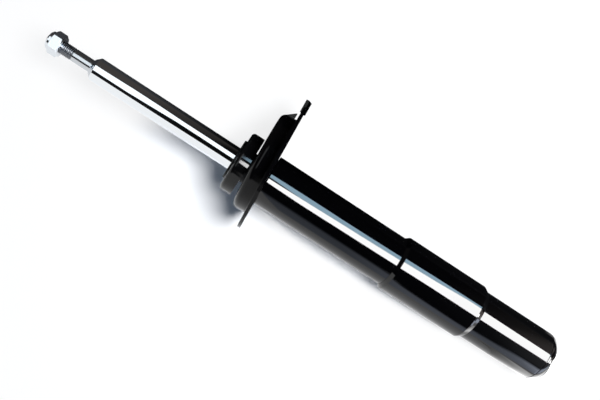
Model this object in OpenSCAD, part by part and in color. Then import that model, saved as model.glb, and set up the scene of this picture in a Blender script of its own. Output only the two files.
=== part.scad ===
// Front suspension strut: a gas-pressurised twin-tube damper in a black tube, with a
// tilted and offset spring seat on the tube's top end and a clamp sleeve near the bottom.
// It lies as it comes to rest, on the flat of the seat's flange and on its rounded end.
//
// Each sub-part is drawn on the strut's own axis, the rod's: z runs from the closed bottom
// end to the threaded end, x points to the floor and y away from the seat's tab.
// lay_down() then lays all of it on the floor, with x along the strut and z up.

/* [Tube] */
// Outside diameter of the outer tube
tube_d = 48; // [44:0.5:50]
// Wall of the outer tube and of its bottom cap
tube_wall = 2.6; // [2:0.1:3]
// Height of the tube's top end above the bottom end
tube_top = 312.1; // [302.1:0.5:314.6]
// Outside radius of the rounded bottom end
end_r = 13; // [11:0.5:15]
// Height of the seam between the bottom cap and the tube
seam_z = 11.5; // [8:0.5:12]

/* [Clamp sleeve] */
// Outside diameter of the clamp sleeve
sleeve_d = 54; // [53:0.5:58]
// Height of the sleeve's lower end
sleeve_z = 85.6; // [60.6:1:100.6]
// Length of the sleeve
sleeve_len = 90.4; // [60:0.2:100]
// Length of the taper at the sleeve's lower end
sleeve_low_taper = 4.8; // [2:0.1:6]
// Length of the taper at the sleeve's upper end
sleeve_high_taper = 3.3; // [2:0.1:6]

/* [Spring seat] */
// Height at which the seat's back face crosses the axis
seat_z = 311.7; // [310.9:0.1:313.9]
// Tilt of the seat about the floor direction, with the tab's end up the rod
seat_tilt = 3.5; // [0:0.5:5]
// Lean of the seat, with its upper side up the rod
seat_lean = 3; // [0:0.5:4]
// Thickness of the sheet that the seat is stamped from
sheet_t = 3; // [2.5:0.1:3.5]
// Outside diameter of the seat's drum, inside the spring
drum_d = 94.5; // [88:0.5:98]
// Height of the drum over the flange's back face
drum_h = 17.1; // [15.7:0.1:17.1]
// Outside radius of the drum's edge
drum_edge_r = 5.5; // [4:0.5:7]
// Distance of the drum's centre from the rod's axis
drum_off = 12.2; // [8:0.1:14]
// Diameter of the flange that the spring's end coil lies on
flange_d = 122.8; // [116:0.2:126]
// Distance from the axis to the flat on the flange's floor side
flat_reach = 54; // [52:0.5:56]
// Distance from the axis to the tab's end
tab_reach = 79.6; // [76:0.2:84]
// Width of the tab
tab_w = 12; // [8:1:32]
// Length of the twisted end of the tab
tab_twist_len = 11; // [8:0.5:13]
// Twist of the tab's end
tab_twist = 14; // [0:1:20]

/* [Collar] */
// Diameter of the collar that the bump stop lands on
collar_d = 58; // [54:0.5:60]
// Height of the collar's lower face
collar_z = 332.6; // [332.6:0.1:334.6]
// Thickness of the collar
collar_h = 12.1; // [11:0.1:14]
// Radius of the collar's upper edge
collar_edge_r = 3.2; // [1:0.1:4]
// Diameter of the wiper's cap lip
cap_d = 38.5; // [36:0.5:44]
// Thickness of the wiper's cap lip
cap_h = 2.1; // [1.5:0.1:3]

/* [Piston rod] */
// Diameter of the chromed rod
rod_d = 22; // [22:0.5:22]
// Height of the end of the full diameter
rod_full_z = 488.7; // [482:0.1:490.6]
// Height of the shoulder that the top mount rests on
shoulder_z = 492.5; // [491.6:0.1:497.6]
// Diameter of the stud
stud_d = 11.6; // [11.6:0.1:12]
// Height where the stud's thread starts
thread_z = 510.9; // [502:0.1:514.6]
// Pitch diameter of the stud's thread
thread_d = 11; // [11:0.1:11]
// Height of the stud's end
rod_top = 536.5; // [536.5:0.1:538.6]

/* [Lock nut] */
// Height of the nut's lower face
nut_z = 522.2; // [514:0.1:522.6]
// Width of the nut across its flats
nut_af = 19; // [17:0.5:19]
// Height of the nut's hexagon
nut_hex_h = 10.2; // [9:0.1:11]
// Whole height of the nut with its locking crown
nut_h = 13.3; // [12:0.1:14]

/* [Damper] */
// Inside diameter of the pressure tube
bore_d = 32; // [32:0.5:32]
// Wall of the pressure tube
bore_wall = 1.5; // [1.2:0.1:2]
// Running clearance, on the radius, of the rod and of the piston band
running = 0.04; // [0.02:0.01:0.08]
// Lift of the two check plates
plate_lift = 1; // [0.6:0.1:1.2]

/* [Hidden] */
$fn = 96;

// A cut's spare length past the solid that it goes through
past = 1;

// Radii
tube_r = tube_d / 2;
tube_in = tube_r - tube_wall;
sleeve_r = sleeve_d / 2;
drum_r = drum_d / 2;
flange_r = flange_d / 2;
collar_r = collar_d / 2;
cap_r = cap_d / 2;
rod_r = rod_d / 2;
bore_r = bore_d / 2;
bore_out = bore_r + bore_wall;

// Seam groove between cap and tube
seam_groove_r = 0.45;
// Radius at which the rounded end's outside passes the seam
seam_r = tube_r - end_r + sqrt(pow(end_r, 2) - pow(end_r - seam_z, 2));

// Top gland: its plug in the tube, the shoulder that carries the seat's hub, and its neck
gland_low = tube_top - 12;
neck_low_r = 15.5;
neck_r = 14.5;
hub_z = tube_top + 4.5;
hub_r = 20;
seat_hole_gap = 0.3;
neck_top = collar_z + 4;
neck_bore_r = rod_r + 0.8;
seal_r = 17.5;
seal_h = 6;

// Rod guide: a flange that fills the tube over a spigot in the pressure tube
guide_low = gland_low - 17.2;
guide_step = gland_low - 9.5;
guide_bore_r = 13;
return_hole_r = 1.5;
return_pitch_r = bore_out + 1.9;
return_channel = 1.2;

// Wiper in the collar's recess, its cap lip sunk a little into the collar's face
wiper_z = collar_z + collar_h - 5.1;
wiper_r = 16;
lip_sink = 0.4;
lip_gap = 0.3;

// Foot valve: its skirt stands in the rounded cap, its plug fills the pressure tube's end
skirt_low = end_r + 0.04
    - sqrt(pow(end_r - tube_wall, 2) - pow(bore_out - (tube_r - end_r), 2));
skirt_in = 14;
valve_low = 16;
valve_step = 20;
valve_top = 26;
rivet_r = 4;
intake_pitch_r = 12;
intake_hole_r = 1.6;
bleed_pitch_r = 7.2;
bleed_hole_r = 1.2;

// Check plates, in ring form, and the star springs over them
plate_t = 0.8;
plate_in = 9.7;
plate_out = 14.7;
star_t = 0.4;
star_hub_r = 7;
star_r = 13;
star_finger_w = 3;
star_fingers = 4;
base_star_z = valve_top + plate_t + plate_lift;

// Shim stacks: radius of the largest disc, step from disc to disc, thickness and oil film
shim_count = 4;
shim_t = 0.4;
shim_film = 0.02;
shim_step = 0.8;
base_shim_r = 9.6;
rebound_shim_r = 10.6;
stack_h = shim_count * (shim_t + shim_film);

// Rod's lower end: stop ring, piston on its spigot and nut, from the guide downwards
buffer_h = 12;
stop_h = 6;
stop_groove = 0.5;
buffer_gap = 0.3;
stop_top = guide_low - buffer_gap - buffer_h;
stop_low = stop_top - stop_h;
stop_r = 15;
spigot_r = 5;
spigot_z = stop_low - 16;
valve_stop_h = 2.5;
valve_stop_r = 11.5;
piston_top = spigot_z - valve_stop_h - star_t - plate_lift - plate_t;
piston_h = 15.3;
piston_low = piston_top - piston_h;
piston_r = bore_r - 0.4;
band_h = 10;
band_gap = 0.05;
band_low = piston_low + (piston_h - band_h) / 2;
groove_r = 14.2;
washer_h = 2;
washer_r = 7.2;
washer_low = piston_low - stack_h - washer_h;
piston_nut_af = 17;
piston_nut_h = 10;
piston_nut_low = washer_low - piston_nut_h;
spigot_end = piston_nut_low - 2.8;

// Seat: where the floor flat's corner lies, in the seat's own plane and on the strut's axis
flat_corner_y = sqrt(pow(flange_r, 2) - pow(flat_reach, 2)) - drum_off;
flat_corner_rise = -flat_corner_y * sin(seat_tilt);
flat_corner_x = flat_reach * cos(seat_lean) + flat_corner_rise * sin(seat_lean);
flat_corner_z = seat_z - flat_reach * sin(seat_lean) + flat_corner_rise * cos(seat_lean);

// Slope of the axis when the flange's flat and the rounded end both touch the floor
contact_run = flat_corner_z - end_r;
contact_drop = flat_corner_x - (tube_r - end_r);
slope = atan2(contact_drop, contact_run) - asin(end_r / norm([contact_drop, contact_run]));

// Extent of the lying strut, which puts the origin under its middle, on the floor
lowest = end_r * sin(slope) - (tube_r - end_r) * cos(slope) - end_r;
x_low = end_r * cos(slope) - (tube_r - end_r) * sin(slope) - end_r;
x_high = rod_top * cos(slope) + (thread_d / 2 - 1) * sin(slope);
y_mid = (flange_r - drum_off - tab_reach) / 2 * cos(seat_tilt);

// Lays what is drawn on the strut's axis on the floor
module lay_down() {
    translate([-(x_low + x_high) / 2, -y_mid, -lowest])
        rotate([0, 90 - slope, 0])
            children();
}

// Moves what is drawn in the seat's plane to the seat's place on the strut
module in_seat_plane() {
    translate([0, 0, seat_z])
        rotate([-seat_tilt, seat_lean, 0])
            children();
}

// A plain ring or washer
module ring(r_in, r_out, low, high) {
    difference() {
        translate([0, 0, low])
            cylinder(r = r_out, h = high - low);
        translate([0, 0, low - past])
            cylinder(r = r_in, h = high - low + 2 * past);
    }
}

// A circle of drillings
module drillings(count, pitch_r, hole_r, low, high) {
    for (i = [0 : count - 1])
        rotate([0, 0, i * 360 / count])
            translate([pitch_r, 0, low - past])
                cylinder(r = hole_r, h = high - low + 2 * past, $fn = 32);
}

// A hexagon nut's body, with its corners chamfered to a cone at the chosen ends
module hex_body(across, low, high, chamfer_low, chamfer_high) {
    corner_r = across / sqrt(3);
    flat_r = across / 2;
    cut = (corner_r - flat_r) * tan(30) + 0.3;
    intersection() {
        translate([0, 0, low])
            cylinder(r = corner_r, h = high - low, $fn = 6);
        rotate_extrude()
            polygon([
                [0, low],
                [chamfer_low ? flat_r - 0.4 : corner_r, low],
                [corner_r, low + (chamfer_low ? cut : 0)],
                [corner_r, high - (chamfer_high ? cut : 0)],
                [chamfer_high ? flat_r - 0.4 : corner_r, high],
                [0, high]
            ]);
    }
}

// Half section of a body with a rounded bottom, set in from the tube's outside
module round_end_section(inset) {
    intersection() {
        union() {
            translate([0, end_r])
                square([tube_r - inset, tube_top - end_r]);
            translate([0, inset])
                square([tube_r - end_r, end_r - inset + past]);
            translate([tube_r - end_r, end_r])
                circle(r = end_r - inset);
        }
        square([tube_d, tube_top]);
    }
}

// Half section of the whole tube wall with its rounded end
module tube_section() {
    difference() {
        round_end_section(0);
        difference() {
            round_end_section(tube_wall);
            translate([0, tube_top])
                square([tube_d, past]);
        }
        translate([seam_r, seam_z])
            circle(r = seam_groove_r, $fn = 24);
    }
}

module outer_tube() {
    color("#15161a")
        rotate_extrude()
            intersection() {
                tube_section();
                translate([0, seam_z])
                    square([tube_d, tube_top]);
            }
}

module bottom_cap() {
    color("#15161a")
        rotate_extrude()
            intersection() {
                tube_section();
                square([tube_d, seam_z]);
            }
}

module clamp_sleeve() {
    low = sleeve_z;
    high = sleeve_z + sleeve_len;
    lip = 0.4;
    color("#1a1b1f")
        rotate_extrude()
            polygon([
                [tube_r, low],
                [tube_r + lip, low],
                [sleeve_r - 0.7, low + sleeve_low_taper * 0.7],
                [sleeve_r, low + sleeve_low_taper],
                [sleeve_r, high - sleeve_high_taper],
                [tube_r + lip, high],
                [tube_r, high]
            ]);
}

// Half section of the stamped seat: flange, foot bend, wall, rounded edge and top of the drum
module seat_section() {
    foot_r = 1.2;
    under_r = foot_r + sheet_t;
    wall_in = drum_r - sheet_t;
    edge_in = drum_edge_r - sheet_t;
    difference() {
        union() {
            square([flange_r, sheet_t]);
            square([drum_r, drum_h - drum_edge_r]);
            square([drum_r - drum_edge_r, drum_h]);
            translate([drum_r - drum_edge_r, drum_h - drum_edge_r])
                circle(r = drum_edge_r);
            difference() {
                square([drum_r + foot_r, sheet_t + foot_r]);
                translate([drum_r + foot_r, sheet_t + foot_r])
                    circle(r = foot_r);
            }
        }
        translate([0, -past])
            square([wall_in, drum_h - drum_edge_r + past]);
        translate([0, -past])
            square([wall_in - edge_in, drum_h - sheet_t + past]);
        translate([wall_in - edge_in, drum_h - drum_edge_r])
            circle(r = edge_in);
        difference() {
            translate([0, -past])
                square([wall_in + under_r, under_r + past]);
            translate([wall_in + under_r, under_r])
                circle(r = under_r);
        }
    }
}

// Flat tab, with its end twisted so that its upper corner turns up the rod
module seat_tab() {
    flat_len = tab_reach - tab_twist_len - drum_r - drum_off + 6;
    translate([-tab_w / 2, -(tab_reach - tab_twist_len), 0])
        cube([tab_w, flat_len, sheet_t]);
    translate([0, -tab_reach, sheet_t / 2])
        rotate([0, tab_twist, 0])
            translate([-tab_w / 2, 0, -sheet_t / 2])
                cube([tab_w, tab_twist_len + 1.5, sheet_t]);
}

// Tongue lanced out of the drum's wall beside the tab, where the spring's end stops
module seat_tongue() {
    width = 9;
    wall_y = drum_off + drum_r;
    translate([width / 2, 0, 0])
        rotate([0, -90, 0])
            linear_extrude(height = width)
                polygon([
                    [drum_h - 2.2, -(wall_y - 1.6)],
                    [6.1, -(wall_y + 5)],
                    [5.2, -(wall_y + 5)],
                    [5.4, -(wall_y - 1.6)]
                ]);
}

// Seat, with its floor flat cut square to the sheet and its hole square to the rod
module spring_seat() {
    color("#1d1d20")
        difference() {
            in_seat_plane()
                difference() {
                    union() {
                        translate([0, -drum_off, 0])
                            rotate_extrude()
                                seat_section();
                        seat_tab();
                        seat_tongue();
                    }
                    translate([flat_reach, -flange_d, -past])
                        cube([flange_d, 2 * flange_d, drum_h + 2 * past]);
                }
            translate([0, 0, seat_z])
                cylinder(r = neck_r + seat_hole_gap, h = 2 * drum_h);
        }
}

// Wedge-shaped ring: level below, on the neck's shoulder, and tilted above, under the drum
module seat_hub() {
    color("#3a3b3e")
        intersection() {
            ring(neck_r, hub_r, hub_z, seat_z + drum_h + 5);
            in_seat_plane()
                translate([-flange_r, -flange_r, -drum_h])
                    cube([flange_d, flange_d, 2 * drum_h - sheet_t]);
        }
}

module top_gland() {
    color("#26272b")
        difference() {
            union() {
                translate([0, 0, gland_low])
                    cylinder(r = tube_in, h = tube_top - gland_low);
                translate([0, 0, gland_low])
                    cylinder(r = neck_low_r, h = hub_z - gland_low);
                translate([0, 0, gland_low])
                    cylinder(r = neck_r, h = neck_top - gland_low);
            }
            translate([0, 0, gland_low - past])
                cylinder(r = neck_bore_r, h = neck_top - gland_low + 2 * past);
            translate([0, 0, gland_low - past])
                cylinder(r = seal_r, h = seal_h + past);
        }
}

module stop_collar() {
    top = collar_z + collar_h;
    edge = collar_r - collar_edge_r;
    color("#17181b")
        difference() {
            rotate_extrude()
                union() {
                    translate([0, collar_z])
                        square([collar_r, collar_h - collar_edge_r]);
                    translate([0, collar_z])
                        square([edge, collar_h]);
                    translate([edge, top - collar_edge_r])
                        circle(r = collar_edge_r);
                }
            translate([0, 0, collar_z - past])
                cylinder(r = neck_r, h = neck_top - collar_z + past);
            translate([0, 0, collar_z - past])
                cylinder(r = neck_bore_r + 0.4, h = collar_h + 2 * past);
            translate([0, 0, wiper_z])
                cylinder(r = wiper_r, h = top - wiper_z + past);
            translate([0, 0, top - lip_sink])
                cylinder(r = cap_r + lip_gap, h = lip_sink + past);
        }
}

// Wiper: a case in the collar's recess, two thin lips on the rod and the cap lip on top
module dust_wiper() {
    top = collar_z + collar_h;
    lip_r = rod_r + running;
    color("#202124")
        rotate_extrude()
            polygon([
                [lip_r + 1.4, wiper_z],
                [wiper_r, wiper_z],
                [wiper_r, top - lip_sink],
                [cap_r - 0.4, top - lip_sink],
                [cap_r, top],
                [cap_r, top + cap_h - 0.6],
                [cap_r - 0.6, top + cap_h],
                [lip_r + 1.2, top + cap_h],
                [lip_r, top + cap_h - 0.5],
                [lip_r + 1, top],
                [lip_r + 1.2, wiper_z + 1.6],
                [lip_r, wiper_z + 0.6]
            ]);
}

// Oil seal: a rubber ring in a steel case, its lip under the garter spring's groove
module rod_seal() {
    lip_r = rod_r + running;
    color("#2b2420")
        difference() {
            rotate_extrude()
                polygon([
                    [lip_r + 1.6, gland_low + seal_h],
                    [lip_r + 0.5, gland_low + 4],
                    [lip_r, gland_low + 1.6],
                    [lip_r + 0.5, gland_low + 0.6],
                    [lip_r + 2.2, gland_low + 0.6],
                    [lip_r + 2.6, gland_low + 3.8],
                    [seal_r - 1.4, gland_low + 3.8],
                    [seal_r - 1.4, gland_low],
                    [seal_r, gland_low],
                    [seal_r, gland_low + seal_h]
                ]);
            garter(1);
        }
}

// Ring of round wire that lies in the seal's groove
module garter(wire_d) {
    rotate_extrude()
        translate([rod_r + running + 2.7, gland_low + 1.6])
            circle(d = wire_d, $fn = 24);
}

module seal_spring() {
    color("#9a9da0")
        garter(1);
}

module rod_guide() {
    color("#5c5c5e")
        difference() {
            union() {
                translate([0, 0, guide_step])
                    cylinder(r = tube_in, h = gland_low - guide_step);
                translate([0, 0, guide_low])
                    cylinder(r = bore_r, h = guide_step - guide_low + past);
            }
            translate([0, 0, guide_low - past])
                cylinder(r = guide_bore_r, h = gland_low - guide_low + 2 * past);
            ring(return_pitch_r - return_hole_r - 3, return_pitch_r,
                 gland_low - return_channel, gland_low + past);
            drillings(4, return_pitch_r, return_hole_r, guide_step, gland_low);
        }
}

module guide_bush() {
    color("#a06a3c")
        ring(rod_r + running, guide_bore_r, guide_low + 1.2, gland_low - 1.5);
}

module pressure_tube() {
    color("#8d9094")
        ring(bore_r, bore_out, valve_step, guide_step);
}

module base_valve() {
    notch_w = 8;
    color("#66676a")
        difference() {
            union() {
                ring(rivet_r, bore_out, valve_low, valve_step);
                ring(rivet_r, bore_r, valve_step - past, valve_top);
                ring(skirt_in, bore_out, skirt_low, valve_low + past);
            }
            drillings(8, intake_pitch_r, intake_hole_r, valve_low, valve_top);
            drillings(6, bleed_pitch_r, bleed_hole_r, valve_low, valve_top);
            for (turn = [0, 90])
                rotate([0, 0, turn])
                    translate([-bore_out - past, -notch_w / 2, skirt_low - past])
                        cube([2 * (bore_out + past), notch_w, 5 + past]);
        }
}

// Discs that get smaller one by one, away from the ports that they close
module shim_stack(bore, r_first, ports_z, direction) {
    for (i = [0 : shim_count - 1]) {
        near = ports_z + direction * (shim_film + i * (shim_t + shim_film));
        far = near + direction * shim_t;
        ring(bore, r_first - i * shim_step, min(near, far), max(near, far));
    }
}

// Thin star of spring steel, drawn flat, as it is when the plate under it is open
module star_spring(bore, low) {
    difference() {
        union() {
            translate([0, 0, low])
                cylinder(r = star_hub_r, h = star_t);
            intersection() {
                translate([0, 0, low])
                    cylinder(r = star_r, h = star_t);
                for (i = [0 : star_fingers / 2 - 1])
                    rotate([0, 0, i * 360 / star_fingers])
                        translate([-star_r - past, -star_finger_w / 2, low])
                            cube([2 * (star_r + past), star_finger_w, star_t]);
            }
        }
        translate([0, 0, low - past])
            cylinder(r = bore, h = star_t + 2 * past);
    }
}

module base_shims() {
    color("#a7a9ac")
        shim_stack(rivet_r, base_shim_r, valve_low, -1);
}

module base_rivet() {
    head_r = 6.5;
    head_h = 2.4;
    low = valve_low - stack_h;
    high = base_star_z + star_t;
    color("#86888b")
        union() {
            translate([0, 0, low - head_h])
                cylinder(r = head_r, h = head_h);
            translate([0, 0, low - head_h])
                cylinder(r = rivet_r, h = high - low + 2 * head_h);
            translate([0, 0, high])
                cylinder(r = head_r, h = head_h);
        }
}

module base_spring() {
    color("#a7a9ac")
        star_spring(rivet_r, base_star_z);
}

module intake_plate() {
    color("#b0b2b5")
        ring(plate_in, plate_out, valve_top, valve_top + plate_t);
}

module piston_band() {
    color("#4a3a30")
        ring(groove_r + running, bore_r - running, band_low + band_gap,
             band_low + band_h - band_gap);
}

module piston_rod() {
    color("#d9dde2")
        rotate_extrude()
            polygon([
                [0, spigot_end],
                [spigot_r - 0.6, spigot_end],
                [spigot_r, spigot_end + 0.6],
                [spigot_r, spigot_z],
                [rod_r, spigot_z],
                [rod_r, stop_low],
                [rod_r - stop_groove, stop_low],
                [rod_r - stop_groove, stop_top],
                [rod_r, stop_top],
                [rod_r, rod_full_z],
                [rod_r - 3.6, shoulder_z],
                [stud_d / 2, shoulder_z],
                [stud_d / 2, thread_z - 0.3],
                [thread_d / 2, thread_z],
                [thread_d / 2, rod_top - 1],
                [thread_d / 2 - 1, rod_top],
                [0, rod_top]
            ]);
}

module top_nut() {
    crown_r = 8.3;
    washer_face_r = 9.2;
    face_h = 0.5;
    crown_z = nut_z + nut_hex_h;
    color("#c9ccd1")
        difference() {
            union() {
                translate([0, 0, nut_z])
                    cylinder(r = washer_face_r, h = face_h + past);
                rotate([0, 0, 30])
                    hex_body(nut_af, nut_z + face_h, crown_z, true, true);
                rotate_extrude()
                    polygon([
                        [0, crown_z - past],
                        [crown_r, crown_z - past],
                        [crown_r, nut_z + nut_h - 1.2],
                        [crown_r - 1.2, nut_z + nut_h],
                        [0, nut_z + nut_h]
                    ]);
            }
            translate([0, 0, nut_z - past])
                cylinder(r = thread_d / 2, h = nut_h + 2 * past);
        }
}

module rebound_stop() {
    color("#7c7e81")
        ring(rod_r - stop_groove, stop_r, stop_low, stop_top);
}

module rebound_buffer() {
    color("#232427")
        ring(rod_r, stop_r, stop_top, stop_top + buffer_h);
}

module valve_stop() {
    color("#7c7e81")
        ring(spigot_r, valve_stop_r, spigot_z - valve_stop_h, spigot_z);
}

module check_spring() {
    color("#a7a9ac")
        star_spring(spigot_r, spigot_z - valve_stop_h - star_t);
}

module check_plate() {
    color("#b0b2b5")
        ring(plate_in, plate_out, piston_top, piston_top + plate_t);
}

module piston() {
    color("#66676a")
        difference() {
            ring(spigot_r, piston_r, piston_low, piston_top);
            ring(groove_r, bore_r, band_low, band_low + band_h);
            drillings(8, intake_pitch_r, intake_hole_r, piston_low, piston_top);
            drillings(6, bleed_pitch_r, bleed_hole_r, piston_low, piston_top);
        }
}

module rebound_shims() {
    color("#a7a9ac")
        shim_stack(spigot_r, rebound_shim_r, piston_low, -1);
}

module shim_washer() {
    color("#7c7e81")
        ring(spigot_r, washer_r, washer_low, washer_low + washer_h);
}

module piston_nut() {
    color("#86888b")
        difference() {
            hex_body(piston_nut_af, piston_nut_low, washer_low, true, false);
            translate([0, 0, piston_nut_low - past])
                cylinder(r = spigot_r, h = piston_nut_h + 2 * past);
        }
}

lay_down() outer_tube();
lay_down() bottom_cap();
lay_down() clamp_sleeve();
lay_down() spring_seat();
lay_down() seat_hub();
lay_down() top_gland();
lay_down() stop_collar();
lay_down() dust_wiper();
lay_down() rod_seal();
lay_down() seal_spring();
lay_down() rod_guide();
lay_down() guide_bush();
lay_down() pressure_tube();
lay_down() base_valve();
lay_down() base_shims();
lay_down() base_rivet();
lay_down() base_spring();
lay_down() intake_plate();
lay_down() piston_band();
lay_down() piston_rod();
lay_down() top_nut();
lay_down() rebound_stop();
lay_down() rebound_buffer();
lay_down() valve_stop();
lay_down() check_spring();
lay_down() piston();
lay_down() rebound_shims();
lay_down() shim_washer();
lay_down() piston_nut();
lay_down() check_plate();
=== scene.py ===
# %% [markdown]
# # A front suspension strut on a white table
# The strut is the damper that carries one front wheel of a car. Its thirty solids are ready made, at
# their real size, and this script leaves their shapes alone. It gives each of them the finish of the
# real piece, adds the thread that the plain stud lacks, and lights it all as for a product photograph.

# %% Load the solids
import math

import bmesh
import bpy
import numpy as np
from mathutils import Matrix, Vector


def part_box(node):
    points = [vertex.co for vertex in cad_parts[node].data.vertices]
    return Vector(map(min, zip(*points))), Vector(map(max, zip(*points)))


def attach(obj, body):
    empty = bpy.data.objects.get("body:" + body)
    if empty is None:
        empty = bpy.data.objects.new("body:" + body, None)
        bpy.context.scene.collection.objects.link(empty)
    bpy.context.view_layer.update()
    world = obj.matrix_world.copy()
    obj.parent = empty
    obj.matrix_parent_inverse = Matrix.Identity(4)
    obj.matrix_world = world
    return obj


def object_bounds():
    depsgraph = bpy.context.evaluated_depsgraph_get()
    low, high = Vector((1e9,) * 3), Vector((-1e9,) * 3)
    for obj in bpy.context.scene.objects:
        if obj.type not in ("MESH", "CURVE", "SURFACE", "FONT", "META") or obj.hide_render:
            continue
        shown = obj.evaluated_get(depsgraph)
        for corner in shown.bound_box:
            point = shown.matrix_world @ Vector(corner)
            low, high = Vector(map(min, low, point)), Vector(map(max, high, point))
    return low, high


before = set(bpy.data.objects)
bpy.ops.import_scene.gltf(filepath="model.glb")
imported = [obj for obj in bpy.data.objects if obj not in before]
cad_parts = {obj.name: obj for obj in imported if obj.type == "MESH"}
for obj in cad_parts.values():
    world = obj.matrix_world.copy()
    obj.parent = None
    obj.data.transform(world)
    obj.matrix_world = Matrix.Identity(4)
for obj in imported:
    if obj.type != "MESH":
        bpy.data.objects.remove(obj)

MM = 0.001
cad_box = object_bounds()
print("box of the solids, in mm:", [round(float(v) / MM, 1) for corner in cad_box for v in corner])

# %% [markdown]
# ## The strut's own axis
# The strut lies a little tilted, with its thread up in the air, so nothing on it runs along X. Two
# pieces inside it are plain rings, and the middle of a ring's box lies on its axis at any tilt. The
# line through the two middles is the strut's axis. From here on a place is a height along that axis,
# a radius and a turn about it.

# %% Find the axis
def middle_of(node):
    """Middle of a CAD node's box, in metres."""
    low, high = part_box(node)
    return (np.array(low) + np.array(high)) / 2


def vertices_of(node):
    """A CAD node's vertices, one row each, in metres."""
    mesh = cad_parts[node].data
    flat = np.empty(3 * len(mesh.vertices))
    mesh.vertices.foreach_get("co", flat)
    return flat.reshape(-1, 3)


low_ring, high_ring = middle_of("intake_plate"), middle_of("guide_bush")
along = (high_ring - low_ring) / np.linalg.norm(high_ring - low_ring)
across = np.array([0.0, 1.0, 0.0])
upward = np.cross(along, across)
slope = math.atan2(along[2], along[0])
bottom_end = low_ring + along * ((vertices_of("bottom_cap") - low_ring) @ along).min()
print("slope of the axis:", round(math.degrees(slope), 2), "degrees")


# %% Measure and place along the axis
def heights_and_radii(node):
    """Each vertex's height along the axis from the bottom end, and its distance from the axis."""
    offset = vertices_of(node) - bottom_end
    height = offset @ along
    return height, np.linalg.norm(offset - np.outer(height, along), axis=1)


def on_axis(height, radius, turn):
    """Points at a height along the axis, at a radius from it, and turned about it from straight up."""
    height, radius, turn = np.broadcast_arrays(height, radius, turn)
    outward = np.cos(turn)[..., None] * upward + np.sin(turn)[..., None] * across
    return bottom_end + height[..., None] * along + radius[..., None] * outward


rod_height, rod_radius = heights_and_radii("piston_rod")
nut_height = heights_and_radii("top_nut")[0]
print("rod ends at", round(rod_height.max() / MM, 1), "mm, nut starts at", round(nut_height.min() / MM, 1))

# %% [markdown]
# ## Colours and nodes
# A finish is a small graph of nodes. Two helpers keep the graphs short: one turns a colour as a
# painter would note it, an sRGB hex code, into the linear values that light is added up in, and one
# makes any node with its settings, its values and its links in a single call. The graphs could be
# clicked together in the shader editor too, but written down they can be read, compared and repeated.

# %% Colour and node helpers
def linear(code):
    """Linear colour of an sRGB hex code: dark channels are divided by 12.92, and the others are
    raised to the power 2.4 after 0.055 is added and the sum divided by 1.055."""
    channel = np.array([int(code[i:i + 2], 16) for i in (1, 3, 5)]) / 255
    value = np.where(channel <= 0.04045, channel / 12.92, ((channel + 0.055) / 1.055) ** 2.4)
    return (*value.tolist(), 1.0)


def add_node(tree, kind, sockets=None, **settings):
    """Adds a shader node. Each of its sockets gets a plain value, or a link if it is given an output."""
    node = tree.nodes.new("ShaderNode" + kind)
    for name, value in settings.items():
        setattr(node, name, value)
    for name, value in (sockets or {}).items():
        if isinstance(value, bpy.types.NodeSocket):
            tree.links.new(value, node.inputs[name])
        else:
            node.inputs[name].default_value = value
    return node


def start_finish(name):
    """An empty material, with its node tree."""
    finish = bpy.data.materials.new(name)
    finish.use_nodes = True
    finish.node_tree.nodes.clear()
    return finish, finish.node_tree


def end_finish(tree, shader):
    """Links a shader's first output to the material's surface."""
    add_node(tree, "OutputMaterial", {"Surface": shader.outputs[0]})


def give_finish(finish, *nodes):
    """Puts a finish on CAD nodes, which keep their meshes."""
    for name in nodes:
        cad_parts[name].material_slots[0].material = finish
    print(finish.name, "on", ", ".join(nodes))


print("sRGB #808080 is", round(linear("#808080")[0], 3), "in linear light")

# %% [markdown]
# ## Patterns that follow the strut
# Turning, grinding and drawing all leave marks that run round or along a piece. Object coordinates
# run along the world's axes, so a Mapping node of the texture kind moves the origin to the strut's
# bottom end, undoes the slope and divides by the size of the marks. A noise with one spot to the unit
# then has spots of that real size.

# %% Marks of a real size
def marks(tree, along_mm, across_mm, detail=2.0):
    """Noise with spots of this length along the axis and this width across it, from 0 to 1."""
    place = add_node(tree, "TexCoord")
    sized = add_node(tree, "Mapping", {
        "Vector": place.outputs["Object"],
        "Location": bottom_end.tolist(),
        "Rotation": (0.0, -slope, 0.0),
        "Scale": (along_mm * MM, across_mm * MM, across_mm * MM),
    }, vector_type="TEXTURE")
    noise = add_node(tree, "TexNoise", {"Vector": sized.outputs[0], "Scale": 1.0, "Detail": detail})
    return noise.outputs[0]


def between(tree, value, low, high, start=0.35, end=0.65):
    """A pattern's values from start to end, spread evenly from low to high."""
    return add_node(tree, "MapRange", {
        "Value": value, "From Min": start, "From Max": end, "To Min": low, "To Max": high,
    }).outputs[0]


def relief(tree, pattern, depth_mm, under=None):
    """Normals of a surface whose height follows a pattern, over an earlier relief if one is given."""
    sockets = {"Height": pattern, "Distance": depth_mm * MM, "Strength": 1.0}
    if under is not None:
        sockets["Normal"] = under
    return add_node(tree, "Bump", sockets).outputs[0]


# %% [markdown]
# ## Gloss black stoving enamel: tube, bottom cap and clamp sleeve
# The reserve tube, its cap and the sleeve are painted together after welding, and the paint is baked.
# The enamel flows before it sets, so it is almost a black mirror, with the faint ripple that painters
# call orange peel, spots of about 3 mm, over a longer wave of the sheet steel. The eye sees it in the
# edges of the light's reflection, which waver a little, and not as a pattern. A clear coat over a dull
# base could give the same look, but one smooth black layer does it with fewer values.

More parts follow.
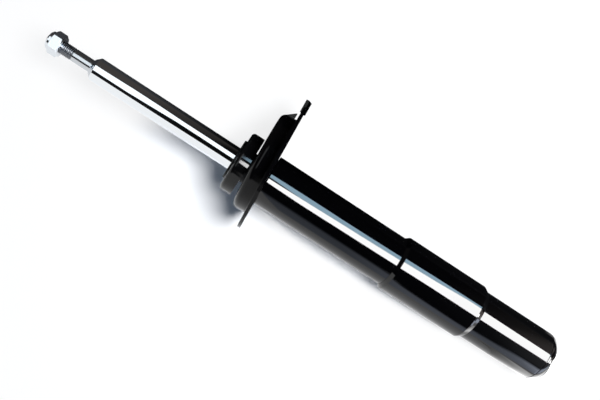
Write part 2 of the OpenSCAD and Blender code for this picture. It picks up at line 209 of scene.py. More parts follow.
# %% Stoving enamel
def stoving_enamel():
    """Near black dielectric, smooth, rippled at two lengths, a little duller in patches."""
    finish, tree = start_finish("gloss_black_stoving_enamel")
    wave = relief(tree, marks(tree, along_mm=40, across_mm=14), depth_mm=0.012)
    peel = relief(tree, marks(tree, along_mm=3, across_mm=3), depth_mm=0.0035, under=wave)
    paint = add_node(tree, "BsdfPrincipled", {
        "Base Color": linear("#020203"),
        "Roughness": between(tree, marks(tree, along_mm=25, across_mm=18), low=0.035, high=0.075),
        "IOR": 1.52,
        "Normal": peel,
    })
    end_finish(tree, paint)
    return finish


give_finish(stoving_enamel(), "outer_tube", "bottom_cap", "clamp_sleeve")

# %% [markdown]
# ## Electrocoat on pressed steel: the spring seat
# The seat is pressed from 3 mm sheet and dipped in an electrocoat bath. That coat is thin and even, so
# it shows the grain of the sheet under it and has a satin gloss. Its own fine texture swallows part of
# the light, which a lower IOR than the resin's stands for, and a rougher surface than the enamel's
# spreads the rest along the rounded edges of the drum into soft grey lines.

# %% Electrocoat
def electrocoat():
    """Black satin coat over the fine grain of rolled sheet."""
    finish, tree = start_finish("black_electrocoat_on_pressed_steel")
    sheet = relief(tree, marks(tree, along_mm=22, across_mm=22), depth_mm=0.007)
    grain = relief(tree, marks(tree, along_mm=0.7, across_mm=0.7, detail=4.0), depth_mm=0.0015, under=sheet)
    coat = add_node(tree, "BsdfPrincipled", {
        "Base Color": linear("#030304"),
        "Roughness": between(tree, marks(tree, along_mm=9, across_mm=9), low=0.09, high=0.13),
        "IOR": 1.3,
        "Normal": grain,
    })
    end_finish(tree, coat)
    return finish


give_finish(electrocoat(), "spring_seat")

# %% [markdown]
# ## Phosphated turned steel: hub ring and gland
# Both are turned from bar and phosphated against rust, which leaves a dark grey coat of tiny crystals
# over the rings of the turning tool. Only their edges show, in the gaps on both sides of the seat. The
# rings are a hundredth of a millimetre deep, far too fine for a shape, so a bump draws them.

# %% Phosphate
# The Mix node has sockets for numbers and for colours under the same names, so they are picked by their
# place in the node's own list.
MIX_SHARE = 0
TONE_A, TONE_B, TONE_OUT = 6, 7, 2


def phosphate():
    """Dark grey metal, dull, with turning rings half a millimetre apart."""
    finish, tree = start_finish("phosphated_turned_steel")
    rings = relief(tree, marks(tree, along_mm=0.5, across_mm=400), depth_mm=0.01)
    crystals = marks(tree, along_mm=0.6, across_mm=0.6, detail=4.0)
    tone = add_node(tree, "Mix", {
        MIX_SHARE: crystals, TONE_A: linear("#1c1d1f"), TONE_B: linear("#2c2d30"),
    }, data_type="RGBA")
    steel = add_node(tree, "BsdfPrincipled", {
        "Base Color": tone.outputs[TONE_OUT],
        "Metallic": 0.6,
        "Roughness": between(tree, crystals, low=0.42, high=0.6),
        "Normal": rings,
    })
    end_finish(tree, steel)
    return finish


give_finish(phosphate(), "seat_hub", "top_gland")

# %% [markdown]
# ## Moulded nylon: the collar that the bump stop lands on
# The collar is glass-filled nylon from a polished mould. The moulding gives it a gloss, and the glass
# fibres just under the skin make that gloss slightly cloudy. Light sinks into pale plastics, which asks
# for subsurface scattering, but black nylon lets none in, so a gloss over near black is enough.

# %% Nylon
def moulded_nylon():
    """Black plastic with a polished skin, faintly cloudy in spots of a millimetre or two."""
    finish, tree = start_finish("moulded_glass_filled_nylon")
    fibres = marks(tree, along_mm=1.6, across_mm=1.6, detail=3.0)
    nylon = add_node(tree, "BsdfPrincipled", {
        "Base Color": linear("#060607"),
        "Roughness": between(tree, fibres, low=0.05, high=0.08),
        "IOR": 1.41,
        "Normal": relief(tree, marks(tree, along_mm=6, across_mm=6), depth_mm=0.003),
    })
    end_finish(tree, nylon)
    return finish


give_finish(moulded_nylon(), "stop_collar")

# %% [markdown]
# ## Nitrile rubber: wiper, seal and buffer
# Moulded rubber has a fine matt skin from the spark-eroded mould, and soaks up most of the light. A
# high roughness spreads what is left over its whole lip, and a low IOR keeps that faint.

# %% Rubber
def nitrile(name, colour, grain_mm):
    """Matt rubber of one colour, with a skin of fine pits."""
    finish, tree = start_finish(name)
    pits = marks(tree, along_mm=grain_mm, across_mm=grain_mm, detail=4.0)
    rubber = add_node(tree, "BsdfPrincipled", {
        "Base Color": linear(colour),
        "Roughness": between(tree, pits, low=0.4, high=0.5),
        "IOR": 1.25,
        "Normal": relief(tree, pits, depth_mm=0.004),
    })
    end_finish(tree, rubber)
    return finish


give_finish(nitrile("moulded_nitrile_wiper", "#040405", grain_mm=0.8), "dust_wiper")
give_finish(nitrile("moulded_nitrile_seal", "#231d19", grain_mm=0.6), "rod_seal", "rebound_buffer")

# %% [markdown]
# ## Hard chrome and turned steel: the piston rod
# The rod is ground, plated with hard chrome and polished again, because a seal runs on it. It is a
# mirror with a cold white tint, and its last grinding lines, about a fifth of a millimetre apart, only
# spread a reflection a little along the rod. The stud above the shoulder is turned and bare of chrome,
# and its end carries the thread. So one finish changes over twice: a little greyer and rougher above the
# shoulder, with rings from the tool, and much darker and duller from where the thread starts. The
# faces could be given three materials, but the solids' meshes are left as they are, so the height along
# the axis tells the finishes apart.

# %% Find the shoulder and the thread
FULL_RADIUS = rod_radius.max()
CORE_RADIUS = 5.5 * MM
# Radii are compared with this much slack, because facets put a vertex a little off its cylinder.
SLACK = 0.1 * MM
shoulder = rod_height[rod_radius > FULL_RADIUS - SLACK].max()
thread_start = rod_height[rod_radius > CORE_RADIUS + SLACK].max()
print("full diameter ends at", round(shoulder / MM, 1), "mm, thread starts at", round(thread_start / MM, 1))


# %% Chromed rod with a bare stud
VALUE_A, VALUE_B = 2, 3


def above(tree, height, blend_mm=0.6):
    """0 below a height along the axis and 1 above it."""
    place = add_node(tree, "TexCoord")
    turned = add_node(tree, "Mapping", {
        "Vector": place.outputs["Object"],
        "Location": bottom_end.tolist(),
        "Rotation": (0.0, -slope, 0.0),
    }, vector_type="TEXTURE")
    parts = add_node(tree, "SeparateXYZ", {"Vector": turned.outputs[0]})
    start = float(height)
    return between(tree, parts.outputs["X"], low=0.0, high=1.0, start=start, end=start + blend_mm * MM)


def chromed_rod():
    """Mirror below the shoulder, turned steel above it, and darker, duller steel along the thread."""
    finish, tree = start_finish("hard_chrome_and_turned_steel")
    bare, rolled = above(tree, shoulder), above(tree, thread_start)
    stud_tone = add_node(tree, "Mix", {
        MIX_SHARE: rolled, TONE_A: linear("#c9cdd1"), TONE_B: linear("#727478"),
    }, data_type="RGBA")
    tone = add_node(tree, "Mix", {
        MIX_SHARE: bare, TONE_A: linear("#ecf0f3"), TONE_B: stud_tone.outputs[TONE_OUT],
    }, data_type="RGBA")
    polish = between(tree, marks(tree, along_mm=0.25, across_mm=60, detail=3.0), low=0.022, high=0.042)
    turning = between(tree, marks(tree, along_mm=0.45, across_mm=300), low=0.13, high=0.18)
    stud_rough = add_node(tree, "Mix", {
        MIX_SHARE: rolled, VALUE_A: turning, VALUE_B: 0.34,
    }, data_type="FLOAT")
    rough = add_node(tree, "Mix", {
        MIX_SHARE: bare, VALUE_A: polish, VALUE_B: stud_rough.outputs[0],
    }, data_type="FLOAT")
    steel = add_node(tree, "BsdfPrincipled", {
        "Base Color": tone.outputs[TONE_OUT],
        "Metallic": 1.0,
        "Roughness": rough.outputs[0],
        "Normal": relief(tree, marks(tree, along_mm=30, across_mm=30), depth_mm=0.0015),
    })
    end_finish(tree, steel)
    return finish


rod_finish = chromed_rod()
give_finish(rod_finish, "piston_rod")

# %% [markdown]
# ## Bright zinc: the lock nut
# The nut is zinc plated and passivated, which gives a pale metal with a blue tint. Barrel plating and
# the press leave it less smooth than chrome, so its facets reflect the light as flat bright fields. A
# clear coat could stand for the passivation, but that is too thin to show as a layer of its own, so the
# blue tint of the metal stands for it.

# %% Zinc
def bright_zinc():
    """Pale bluish metal, blurred by small dents from the plating barrel."""
    finish, tree = start_finish("zinc_plate_clear_passivated")
    dents = marks(tree, along_mm=2.5, across_mm=2.5)
    tone = add_node(tree, "Mix", {
        MIX_SHARE: dents, TONE_A: linear("#dde2e7"), TONE_B: linear("#e8ecf0"),
    }, data_type="RGBA")
    zinc = add_node(tree, "BsdfPrincipled", {
        "Base Color": tone.outputs[TONE_OUT],
        "Metallic": 1.0,
        "Roughness": between(tree, dents, low=0.17, high=0.22),
        "Normal": relief(tree, dents, depth_mm=0.0015),
    })
    end_finish(tree, zinc)
    return finish


give_finish(bright_zinc(), "top_nut")

# %% [markdown]
# ## Steels, iron and bush inside the tube
# Nothing of these shows on the whole strut, but each comes out on the bench, so each has its finish.
# They are all metal with marks of one kind: rings from turning, lines along a drawn tube, the pores of
# pressed powder, the brushed face of spring strip. One function with the size of the marks makes them.

# %% Finishes of the inner pieces
def worked_metal(name, dark, light, marks_mm, rough, depth_mm):
    """Metal between two tones, with marks of the given length and width in both tone and relief."""
    finish, tree = start_finish(name)
    pattern = marks(tree, *marks_mm, detail=3.0)
    tone = add_node(tree, "Mix", {
        MIX_SHARE: pattern, TONE_A: linear(dark), TONE_B: linear(light),
    }, data_type="RGBA")
    metal = add_node(tree, "BsdfPrincipled", {
        "Base Color": tone.outputs[TONE_OUT],
        "Metallic": 1.0,
        "Roughness": between(tree, pattern, *rough),
        "Normal": relief(tree, pattern, depth_mm),
    })
    end_finish(tree, metal)
    return finish


give_finish(worked_metal("turned_free_cutting_steel", "#9a9da1", "#b8bbbe",
                         marks_mm=(0.4, 200), rough=(0.22, 0.34), depth_mm=0.006),
            "rebound_stop", "valve_stop", "shim_washer", "piston_nut", "base_rivet")
give_finish(worked_metal("cold_drawn_steel_tube", "#a6aaae", "#c2c5c8",
                         marks_mm=(60, 0.6), rough=(0.18, 0.28), depth_mm=0.003),
            "pressure_tube")
give_finish(worked_metal("sintered_iron_steam_treated", "#4a4c50", "#686a6d",
                         marks_mm=(0.5, 0.5), rough=(0.45, 0.62), depth_mm=0.02),
            "rod_guide", "base_valve", "piston")
give_finish(worked_metal("hardened_spring_strip", "#9b9c9e", "#bfc0c1",
                         marks_mm=(0.5, 12), rough=(0.2, 0.3), depth_mm=0.002),
            "base_shims", "rebound_shims", "base_spring", "check_spring", "intake_plate", "check_plate",
            "seal_spring")
give_finish(worked_metal("sintered_bronze_bush", "#8f6236", "#b98550",
                         marks_mm=(0.6, 0.6), rough=(0.35, 0.5), depth_mm=0.008),
            "guide_bush")

# %% [markdown]
# ## Bronze-filled fluoroplastic: the piston's band
# The band keeps the piston off the tube's wall. It is cut from a slippery brown tape with bronze powder
# in it, so it is dull, and the powder shows as fine specks, which a noise between two browns gives.

# %% Filled fluoroplastic
def filled_plastic():
    """Brown plastic tape with dark specks of the bronze powder in it."""
    finish, tree = start_finish("bronze_filled_fluoroplastic")
    specks = marks(tree, along_mm=0.5, across_mm=0.5, detail=5.0)
    tone = add_node(tree, "Mix", {
        MIX_SHARE: specks, TONE_A: linear("#3b2a1e"), TONE_B: linear("#5a4331"),
    }, data_type="RGBA")
    tape = add_node(tree, "BsdfPrincipled", {
        "Base Color": tone.outputs[TONE_OUT],
        "Roughness": between(tree, specks, low=0.4, high=0.55),
        "IOR": 1.38,
        "Normal": relief(tree, specks, depth_mm=0.003),
    })
    end_finish(tree, tape)
    return finish


give_finish(filled_plastic(), "piston_band")
print(len(bpy.data.materials), "materials")

# %% [markdown]
# ## The stud's thread
# The stud carries an M12 thread of 1.5 mm pitch. The solid stud ends at the thread's middle diameter,
# so what is missing is the ridge. A helix could be made with the Screw modifier, but its run-outs, where
# the real thread fades in and out within a turn, can't be shaped there. Here the ridge is a surface of
# two parameters: one runs along the helix, and the other round the ridge's section.

# %% A closed strip from a grid of points
def new_piece(name, mesh, finish, body):
    """An object for a finished mesh at the origin, which rides on a body."""
    mesh.materials.append(finish)
    mesh.polygons.foreach_set("use_smooth", np.ones(len(mesh.polygons), bool))
    piece = bpy.data.objects.new(name, mesh)
    bpy.context.scene.collection.objects.link(piece)
    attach(piece, body)
    return piece


def tube_mesh(name, grid):
    """A closed mesh from rows of points: each row is a ring, rings are joined by four-sided faces,
    and the first and last ring are closed by one face each."""
    rows, columns = grid.shape[:2]
    index = np.arange(rows * columns).reshape(rows, columns)
    after = np.roll(index, -1, axis=1)
    sides = np.stack([index[:-1], index[1:], after[1:], after[:-1]], axis=-1).reshape(-1, 4)
    ends = [index[0].tolist(), index[-1].tolist()]
    mesh = bpy.data.meshes.new(name)
    mesh.from_pydata(grid.reshape(-1, 3).tolist(), [], sides.tolist() + ends)
    shell = bmesh.new()
    shell.from_mesh(mesh)
    bmesh.ops.recalc_face_normals(shell, faces=shell.faces)
    shell.to_mesh(mesh)
    shell.free()
    return mesh


# %% Sizes of the thread
PITCH = 1.5 * MM
CREST_RADIUS = 5.95 * MM
# Half the ridge's width at its base and at its crest, and how deep the base is sunk into the stud.
RIDGE_BASE = 0.46 * MM
RIDGE_CREST = 0.1 * MM
SUNK = 0.12 * MM
# How many turns the ridge takes to rise at its start and to sink at its end.
TURNS_IN = 0.9
TURNS_OUT = 0.7
END_CHAMFER = 1.4 * MM
thread_low = thread_start + RIDGE_BASE
thread_high = rod_height.max() - END_CHAMFER
print("thread from", round(thread_low / MM, 1), "to", round(thread_high / MM, 1), "mm")


# %% The ridge
STEPS_A_TURN = 72


def ease(x):
    """0 below 0, 1 above 1, and three squares less two cubes between them."""
    x = np.clip(x, 0, 1)
    return x * x * (3 - 2 * x)


def thread_ridge(low, high):
    """The ridge's height along the axis grows evenly with the turn, by one pitch a turn. Its section is
    a flat-topped roof. The roof's height is eased from nothing to full at the start, and back to nothing
    at the end, within a turn each, so that the thread fades in and out."""
    turns = (high - low) / PITCH
    turn = np.linspace(0, turns, int(turns * STEPS_A_TURN))[:, None]
    rise = ease(turn / TURNS_IN) * ease((turns - turn) / TURNS_OUT)
    half_width = np.array([-RIDGE_BASE, -RIDGE_CREST, RIDGE_CREST, RIDGE_BASE])
    top = np.array([0, 1, 1, 0])
    radius = CORE_RADIUS - SUNK + top * rise * (CREST_RADIUS - CORE_RADIUS + SUNK)
    return on_axis(low + turn * PITCH + half_width, radius, 2 * np.pi * turn)


thread = new_piece("stud_thread", tube_mesh("stud_thread", thread_ridge(thread_low, thread_high)),
                   rod_finish, "rod")
print("thread of", len(thread.data.polygons), "faces")

# %% [markdown]
# ## Table and surroundings
# The table is white, and it has to stay white right up to the edge of any view, while the shadow under
# the strut stays. Paper alone turns grey away from the lamp, and a table that glows all over has no
# shadow. So the table is plain paper where the shadow is deepest, in an oval beside the seat, and almost
# plain in a long oval under the tube. Further out an even white glow is mixed in for the rays that look
# at it, which leaves a light shadow, and far out it is all glow. The world does the same: rays from the
# camera and rays off metal and gloss see a white room, and everything else gets a weaker blue light,
# which is what fills the shadow.

# %% Which rays look
def looking_rays(tree):
    """1 for rays from the camera, and for rays that a glossy or clear surface sends on."""
    path = add_node(tree, "LightPath")
    gloss = add_node(tree, "Math", {
        0: path.outputs["Is Glossy Ray"], 1: path.outputs["Is Transmission Ray"],
    }, operation="MAXIMUM")
    return add_node(tree, "Math", {
        0: path.outputs["Is Camera Ray"], 1: gloss.outputs[0],
    }, operation="MAXIMUM").outputs[0]


# %% How far the paper glows
# An oval is its middle, its stretch along each axis, and the two distances from the middle, in metres
# where it isn't stretched, between which the glow grows.
SEAT_OVAL = ((0.098, 0.052, 0.0), (1.9, 1.0, 1.0), (0.026, 0.055))
TUBE_OVAL = ((-0.06, 0.022, 0.0), (6.5, 1.0, 1.0), (0.023, 0.031))
PAPER_ROUND = ((0.0, 0.0, 0.0), (1.0, 1.0, 1.0), (0.28, 0.6))
TUBE_GLOW = 0.05
LIGHT_GLOW = 0.82


def glow_share(tree, middle, shape, reach, low, high):
    """Glow that grows from low to high between two distances from a middle, in an oval of this shape."""
    place = add_node(tree, "TexCoord")
    oval = add_node(tree, "Mapping", {
        "Vector": place.outputs["Object"], "Location": middle, "Scale": shape,
    }, vector_type="TEXTURE")
    distance = add_node(tree, "VectorMath", {0: oval.outputs[0]}, operation="LENGTH")
    return add_node(tree, "MapRange", {
        "Value": distance.outputs["Value"],
        "From Min": reach[0], "From Max": reach[1], "To Min": low, "To Max": high,
    }, interpolation_type="SMOOTHSTEP").outputs[0]


# %% The table's paper
def table_paper():
    """White paper beside the seat, paper with white glow around it, and white glow alone far out."""
    finish, tree = start_finish("white_table_paper")
    seat_light = glow_share(tree, *SEAT_OVAL, 0.0, LIGHT_GLOW)
    tube_light = glow_share(tree, *TUBE_OVAL, TUBE_GLOW, LIGHT_GLOW)
    light = add_node(tree, "Math", {0: seat_light, 1: tube_light}, operation="MINIMUM").outputs[0]
    full = glow_share(tree, *PAPER_ROUND, 0.0, 1.0)
    glow_here = add_node(tree, "Math", {0: light, 1: full}, operation="MAXIMUM").outputs[0]
    share = add_node(tree, "Math", {0: glow_here, 1: looking_rays(tree)}, operation="MULTIPLY")
    paper = add_node(tree, "BsdfDiffuse", {"Color": linear("#f6f7f9")})
    glow = add_node(tree, "Emission", {"Color": linear("#ffffff"), "Strength": 1.0})
    mixed = add_node(tree, "MixShader", {0: share.outputs[0], 1: paper.outputs[0], 2: glow.outputs[0]})
    end_finish(tree, mixed)
    return finish


# %% The table
TABLE_HALF = 6.0
TABLE_DROP = 0.1 * MM


def stage_sheet(name, points, faces, finish):
    """An object for a sheet of points and four-sided faces that isn't part of the strut."""
    mesh = bpy.data.meshes.new(name)
    corners = np.asarray(points).reshape(-1, 3).tolist()
    mesh.from_pydata(corners, [], np.asarray(faces).reshape(-1, 4).tolist())
    mesh.materials.append(finish)
    sheet = bpy.data.objects.new(name, mesh)
    bpy.context.scene.collection.objects.link(sheet)
    return sheet


table_z = cad_box[0][2] - TABLE_DROP
table_corners = [(-TABLE_HALF, -TABLE_HALF, table_z), (TABLE_HALF, -TABLE_HALF, table_z),
                 (TABLE_HALF, TABLE_HALF, table_z), (-TABLE_HALF, TABLE_HALF, table_z)]
stage_sheet("table", table_corners, [(0, 1, 2, 3)], table_paper())
print("table at", round(float(table_z) / MM, 1), "mm,", 2 * TABLE_HALF, "m wide")

# %% The world
FILL = 0.2


def white_room():
    """White for looking rays, and a weak blue fill for all others."""
    world = bpy.data.worlds.new("white_room")
    world.use_nodes = True
    tree = world.node_tree
    tree.nodes.clear()
    fill = add_node(tree, "Background", {"Color": linear("#bcd0ea"), "Strength": FILL})
    seen = add_node(tree, "Background", {"Color": linear("#ffffff"), "Strength": 1.0})
    mixed = add_node(tree, "MixShader", {0: looking_rays(tree), 1: fill.outputs[0], 2: seen.outputs[0]})
    add_node(tree, "OutputWorld", {"Surface": mixed.outputs[0]})
    bpy.context.scene.world = world


white_room()
print("fill of", FILL, "for rays that don't look")

# %% [markdown]
# ## The light on the strut
# One softbox hangs high over the lower end, a little to the far side. It makes the soft shadow that
# leans towards the thread, and its strength is set so that white paper renders just about white. A sun
# lamp would be simpler, but a softbox of real size and distance softens the shadow as it spreads.

# %% Softbox lamp
LAMP_AT = np.array([-0.42, -0.16, 1.3])
LAMP_SIZE = (0.5, 0.5)
LAMP_POWER = 25.5


def softbox_lamp():
    """A rectangular lamp that faces the tube's middle. It doesn't show in reflections, because the
    cards in the cells below give those."""
    lamp = bpy.data.lights.new("softbox_lamp", "AREA")
    lamp.shape = "RECTANGLE"
    lamp.size, lamp.size_y = LAMP_SIZE
    lamp.energy = LAMP_POWER
    lamp.color = linear("#ffffff")[:3]
    holder = bpy.data.objects.new("softbox_lamp", lamp)
    bpy.context.scene.collection.objects.link(holder)
    holder.location = LAMP_AT
    aim = middle_of("outer_tube") - LAMP_AT
    holder.rotation_euler = (math.atan2(math.hypot(aim[0], aim[1]), -aim[2]), 0,
                             math.atan2(aim[1], aim[0]) - math.pi / 2)
    holder.visible_glossy = False


softbox_lamp()
print("lamp at", LAMP_AT.tolist(), "m with", LAMP_POWER, "W")

# %% [markdown]
# ## What the gloss reflects
# Gloss black and chrome show no light of their own, only their surroundings, so a photographer hangs
# cards around them: bright ones for the stripes, and dark ones to keep the white room out. Lamps in the
# cards' places would make the stripes too, but they would also light the table. These cards are curved
# sheets round the strut, like slices of a barrel, and only reflections see them, so they can be as
# bright or as dark as the stripes need. Each is a list of stations along the strut: a place on X in
# metres, the card's two edges as angles from straight up, positive to the near side, and how strongly
# it glows there. The values come from where the stripes begin and end on the real strut.

# %% A grid over a list of stations
STRIPS, COLUMNS = 16, 60


def between_edges(stations):
    """A grid over the listed stations: one parameter counts the stations, with as many strips between
    any two, and the other runs from the first edge to the second. Places, edges and glow lie on
    straight lines between the stations."""
    count = len(stations)
    step = np.linspace(0, count - 1, STRIPS * (count - 1) + 1)[:, None]
    place, first, second, glow = (np.interp(step, range(count), value) for value in np.array(stations).T)
    across_share = np.linspace(0, 1, COLUMNS)[None, :]
    return place + 0 * across_share, first + across_share * (second - first), glow, across_share


# %% A sheet that only reflections see
def glowing_sheet(name, grid, glow, colour):
    """A sheet through a grid of points, which glows as strongly as its attribute says at each point,
    and neither lights, shades nor shows itself."""
    rows, columns = grid.shape[:2]
    index = np.arange(rows * columns).reshape(rows, columns)
    faces = np.stack([index[:-1, :-1], index[1:, :-1], index[1:, 1:], index[:-1, 1:]], axis=-1)
    finish, tree = start_finish(name)
    strength = add_node(tree, "Attribute", attribute_name="glow").outputs["Fac"]
    end_finish(tree, add_node(tree, "Emission", {"Color": linear(colour), "Strength": strength}))
    sheet = stage_sheet(name, grid, faces, finish)
    sheet.data.attributes.new("glow", "FLOAT", "POINT").data.foreach_set("value", glow.ravel())
    sheet.visible_camera = sheet.visible_diffuse = sheet.visible_shadow = False
    sheet.visible_transmission = sheet.visible_volume_scatter = False
    print(name, "of", rows * columns, "points, glow up to", round(float(glow.max()), 3))


# %% Hang a card on the barrel
CARD_RADIUS = 0.9
CARD_STEP = 0.01
HARD_EDGE = 0.001


def hang_card(name, stations, step, colour, feather=HARD_EDGE):
    """A card on the barrel, this many steps outside the innermost one. Its glow rises from nothing
    over the given share of its width, from its first edge."""
    place, angle, glow, share = between_edges(stations)
    centre = middle_of("outer_tube")
    radius = CARD_RADIUS + step * CARD_STEP
    angle = np.radians(angle)
    grid = np.stack([place, centre[1] + radius * np.sin(angle), centre[2] + radius * np.cos(angle)], axis=-1)
    glowing_sheet(name, grid, glow * ease(share / feather), colour)


# %% [markdown]
# ## Bright cards overhead
# The softbox card makes the hard white stripe along the tube, the sleeve and the rounded end. The window
# card beside it gives that stripe its cold edge. The ceiling card hangs over the collar, the seat and
# the rod, and the baffle card is a small patch beside the top of the tube. A stripe that stops short
# gets a last station without any glow.

# %% Softbox and window
SOFTBOX = [(-12.0, -36, 2.0, 22), (-2.5, -36, 2.0, 22), (-2.45, -36, 2.0, 0), (-2.05, -36, 2.0, 0),
           (-2.0, -36, 2.0, 22), (-0.82, -36, 2.3, 22), (-0.7, -35.5, 4.0, 22), (-0.587, -36, 3.6, 22),
           (-0.507, -27.5, 3.3, 23), (-0.35, -19.2, 6.8, 23), (-0.262, -16, 8.1, 23),
           (-0.178, -12.2, 9.8, 23), (-0.104, -10, 8, 23), (-0.0205, -9, 1.5, 23), (-0.019, -9, 1.5, 0)]
WINDOW = [(-0.62, -43, -34, 10), (-0.49, -41, -26, 10), (-0.34, -35.3, -18, 10), (-0.25, -33.5, -15, 10),
          (-0.167, -33, -12, 10), (-0.094, -31, -16.5, 10), (-0.0205, -27, -18, 10), (-0.019, -27, -18, 0)]
hang_card("softbox_card", SOFTBOX, 0, "#ffffff")
hang_card("window_card", WINDOW, 1, "#c0e7ff")

# %% Ceiling and baffle
CEILING = [(-0.012, -30, 5, 0), (-0.006, -30, 5, 1.4), (0.07, -31.5, 3, 1.4), (0.13, -31, 3.5, 1.4),
           (0.19, -34, 12, 1.4), (0.25, -34, 19.5, 1.4), (0.31, -28.5, 19.5, 1.4), (0.5, -28.5, 19.5, 1.4),
           (0.56, -28.5, 19.5, 0)]
BAFFLE = [(-0.06, 30, 42, 0.7), (-0.02, 30, 42, 0.7)]
hang_card("ceiling_card", CEILING, 2, "#f6fcff")
hang_card("baffle_card", BAFFLE, 3, "#ffffff")

# %% [markdown]
# ## Dark cards
# Between the bright cards the gloss would show the white room, and black enamel would look grey. So
# velvet covers the whole far side, and the gap card covers the near side from straight up to where the
# wall card begins. They hang behind the bright cards, on a wider barrel. Neither is quite black: over
# the rod they are a little lighter, and beyond the closed end they grow as light as the rounded end
# shows them.

# %% Velvet and gap
VELVET = [(-12.0, -96, 0, 1.0), (-2.8, -96, 0, 1.0), (-2.7, -96, 0, 0.04), (-1.6, -96, 0, 0.04),
          (-1.4, -96, 0, 0.8), (-0.9, -96, 0, 0.7), (-0.78, -96, 0, 0.45), (-0.7, -96, 0, 0.12),
          (-0.6, -96, 0, 0.05), (-0.5, -96, 0, 0.008), (0.01, -96, 0, 0.003), (0.05, -96, 0, 0.006),
          (0.09, -96, 0, 0.025), (0.19, -96, 0, 0.036), (0.29, -96, 0, 0.055), (12.0, -96, 0, 0.06)]
DARK_GAP = [(-12.0, 0, 44, 1.0), (-0.9, 0, 44, 0.4), (-0.82, 0, 44, 0.25), (-0.784, 0, 44, 0.2),
            (-0.75, 0, 46, 0.12), (-0.704, 0, 54, 0.06), (-0.635, 0, 60, 0.035), (-0.6, 0, 63, 0.03),
            (-0.56, 0, 65, 0.015), (-0.48, 0, 63, 0.006), (-0.42, 0, 60, 0.005), (-0.39, 0, 50, 0.005),
            (-0.25, 0, 48, 0.004), (-0.06, 0, 45, 0.004), (0.0, 0, 43, 0.004), (0.04, 0, 42, 0.004),
            (0.1, 0, 43, 0.004), (0.2, 0, 46, 0.008), (0.32, 0, 48.5, 0.01), (12.0, 0, 48.5, 0.01)]
hang_card("velvet_card", VELVET, 4, "#fff4ee")
hang_card("gap_card", DARK_GAP, 5, "#f4f6ff")

# %% [markdown]
# ## Wall card
# Low on the near side a wall card makes the dim band along the tube's near flank, and a brighter one
# round the closed end. Its upper edge is the gap card's lower one, station by station, so that no white
# room shows between the two, and it fades in from there over part of its width, as the band does.

# %% Wall
WALL_FEATHER = 0.4
WALL = [(-12.0, 44, 88, 5.0), (-0.82, 44, 88, 4.5), (-0.784, 44, 88, 3.0), (-0.75, 46, 88, 2.0),
        (-0.704, 54, 88, 1.5), (-0.635, 60, 88, 1.1), (-0.6, 63, 88, 1.2), (-0.56, 65, 88, 1.25),
        (-0.48, 63, 88, 1.25), (-0.42, 60, 88, 1.2), (-0.39, 50, 88, 1.1), (-0.25, 48, 88, 0.7),
        (-0.06, 45, 88, 0.7)]
hang_card("wall_card", WALL, 6, "#e1ebff", WALL_FEATHER)

# %% [markdown]
# ## Sheets on the table
# A reflection that leaves the strut downwards meets the table before any card, and the table looks white
# to it. So more sheets of the same kind lie just over the table. A dark cloth covers its far side. The
# near, the far and the end card are bright fields round the closed end, which show as light arcs in its
# rounding and on the sleeve's tapers. Their stations give distances from the strut in Y where the hung
# cards have angles. A lean slants a sheet along X as it runs outward, and a fall weakens its glow.

# %% Lay a sheet on the table
SHEET_LIFT = 0.03 * MM


def lay_sheet(name, stations, step, colour, lean=0.0, fall=0.0):
    """A sheet on the table, this many lifts above it. X is the station's less the lean times the
    distance from the strut, and the glow is the station's less a share that grows evenly from nothing
    at the first edge to the fall at the second."""
    place, away, glow, share = between_edges(stations)
    place = place - lean * np.abs(away)
    beside = middle_of("outer_tube")[1] + away
    height = table_z + step * SHEET_LIFT
    grid = np.stack([place, beside, 0 * place + height], axis=-1)
    glowing_sheet(name, grid, glow * (1 - fall * share), colour)


# %% Dark cloth on the far side
CLOTH = [(-12.0, -8.0, 1.2, 0.03), (-0.95, -1.0, 0.06, 0.06), (-0.8, -1.0, 0.0, 0.2),
         (-0.6, -1.0, 0.0, 0.15), (-0.45, -1.0, 0.0, 0.08), (-0.36, -1.0, 0.0, 0.06),
         (-0.25, -1.0, 0.0, 0.03), (-0.1, -1.0, 0.0, 0.01), (0.02, -1.0, 0.0, 0.0), (0.1, -1.0, 0.0, 0.003),
         (0.2, -1.0, 0.0, 0.035), (0.29, -1.0, 0.0, 0.05), (3.0, -1.0, 0.0, 0.06)]
lay_sheet("table_cloth", CLOTH, 1, "#f4f6ff")

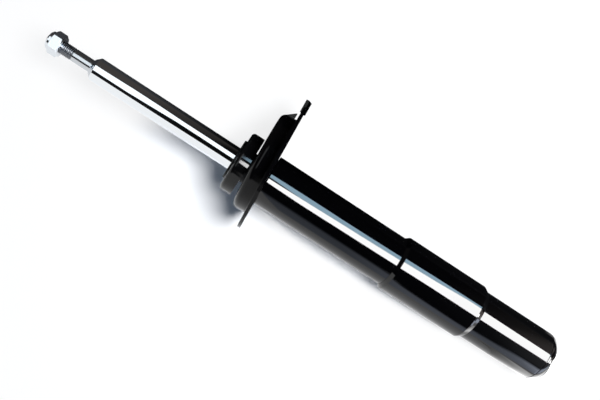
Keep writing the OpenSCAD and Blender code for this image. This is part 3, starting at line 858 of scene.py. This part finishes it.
# %% Bright fields round the closed end
VIEW_LEAN = 0.37
NEAR_FALL = 0.75
NEAR_CARD = [(-0.7, 0.03, 0.6, 3.0), (-0.4, 0.03, 0.6, 3.6), (-0.35, 0.03, 0.6, 4.6),
             (-0.285, 0.03, 0.6, 5.2), (-0.27, 0.03, 0.6, 6.0), (-0.255, 0.03, 0.6, 4.6),
             (-0.236, 0.03, 0.6, 2.1), (-0.21, 0.03, 0.6, 0.9)]
FAR_CARD = [(-0.42, -0.06, 0.0, 0.1), (-0.37, -0.06, 0.0, 0.3), (-0.335, -0.06, 0.0, 1.8),
            (-0.29, -0.06, 0.0, 3.0), (-0.275, -0.06, 0.0, 2.8), (-0.262, -0.06, 0.0, 0.8),
            (-0.245, -0.06, 0.0, 0.03)]
END_CARD = [(-0.85, -0.1, 0.02, 12), (-0.34, -0.024, 0.016, 12), (-0.285, -0.018, 0.012, 12)]
lay_sheet("near_table_card", NEAR_CARD, 1, "#ffffff", VIEW_LEAN, NEAR_FALL)
lay_sheet("far_table_card", FAR_CARD, 2, "#ffffff", VIEW_LEAN)
lay_sheet("table_card", END_CARD, 3, "#ffffff")

# %% [markdown]
# ## A black flag over the seat
# Where one patch has to stay dark, a photographer holds a small black flag close to it. This one hangs
# just over the highest edge of the seat and keeps the cards' light off the piece of seat under it.

# %% Flag
FLAG_X = (0.0365, 0.0565)
FLAG_Y = (-0.045, 0.016)
FLAG_LIFT = 2.5 * MM
flag_x, flag_y = np.meshgrid(FLAG_X, FLAG_Y, indexing="ij")
flag_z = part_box("spring_seat")[1][2] + FLAG_LIFT
glowing_sheet("seat_flag", np.stack([flag_x, flag_y, flag_z + 0 * flag_x], axis=-1), 0 * flag_x, "#000000")

# %% [markdown]
# ## Camera
# The photograph was taken from straight above, at about two thirds of a metre. How much the round edges
# bulge along the strut gives that distance, and the strut's length in the picture then gives the lens.
# The camera is turned about its own line of sight until the strut runs from upper left to lower right.

# %% Camera
PHOTO_WIDTH = 600
FOCAL_PIXELS = 740
SENSOR = 36.0
# The height on the axis that the camera stands over, and how far beside and above that point it is.
AIM_HEIGHT = 277.0 * MM
SIDE_STEP = -1.1 * MM
OVER_AXIS = 665 * MM
TURN = math.radians(-147.02)
camera = bpy.data.objects.new("camera", bpy.data.cameras.new("camera"))
bpy.context.scene.collection.objects.link(camera)
camera.data.sensor_width = SENSOR
camera.data.lens = FOCAL_PIXELS / PHOTO_WIDTH * SENSOR
camera.location = on_axis(AIM_HEIGHT, 0.0, 0.0) + np.array([0, SIDE_STEP, OVER_AXIS])
camera.rotation_euler = (0, 0, TURN)
bpy.context.scene.camera = camera
bpy.context.scene.view_settings.view_transform = "Standard"
print("camera at", [round(v / MM) for v in camera.location], "mm, lens", round(camera.data.lens, 1), "mm")
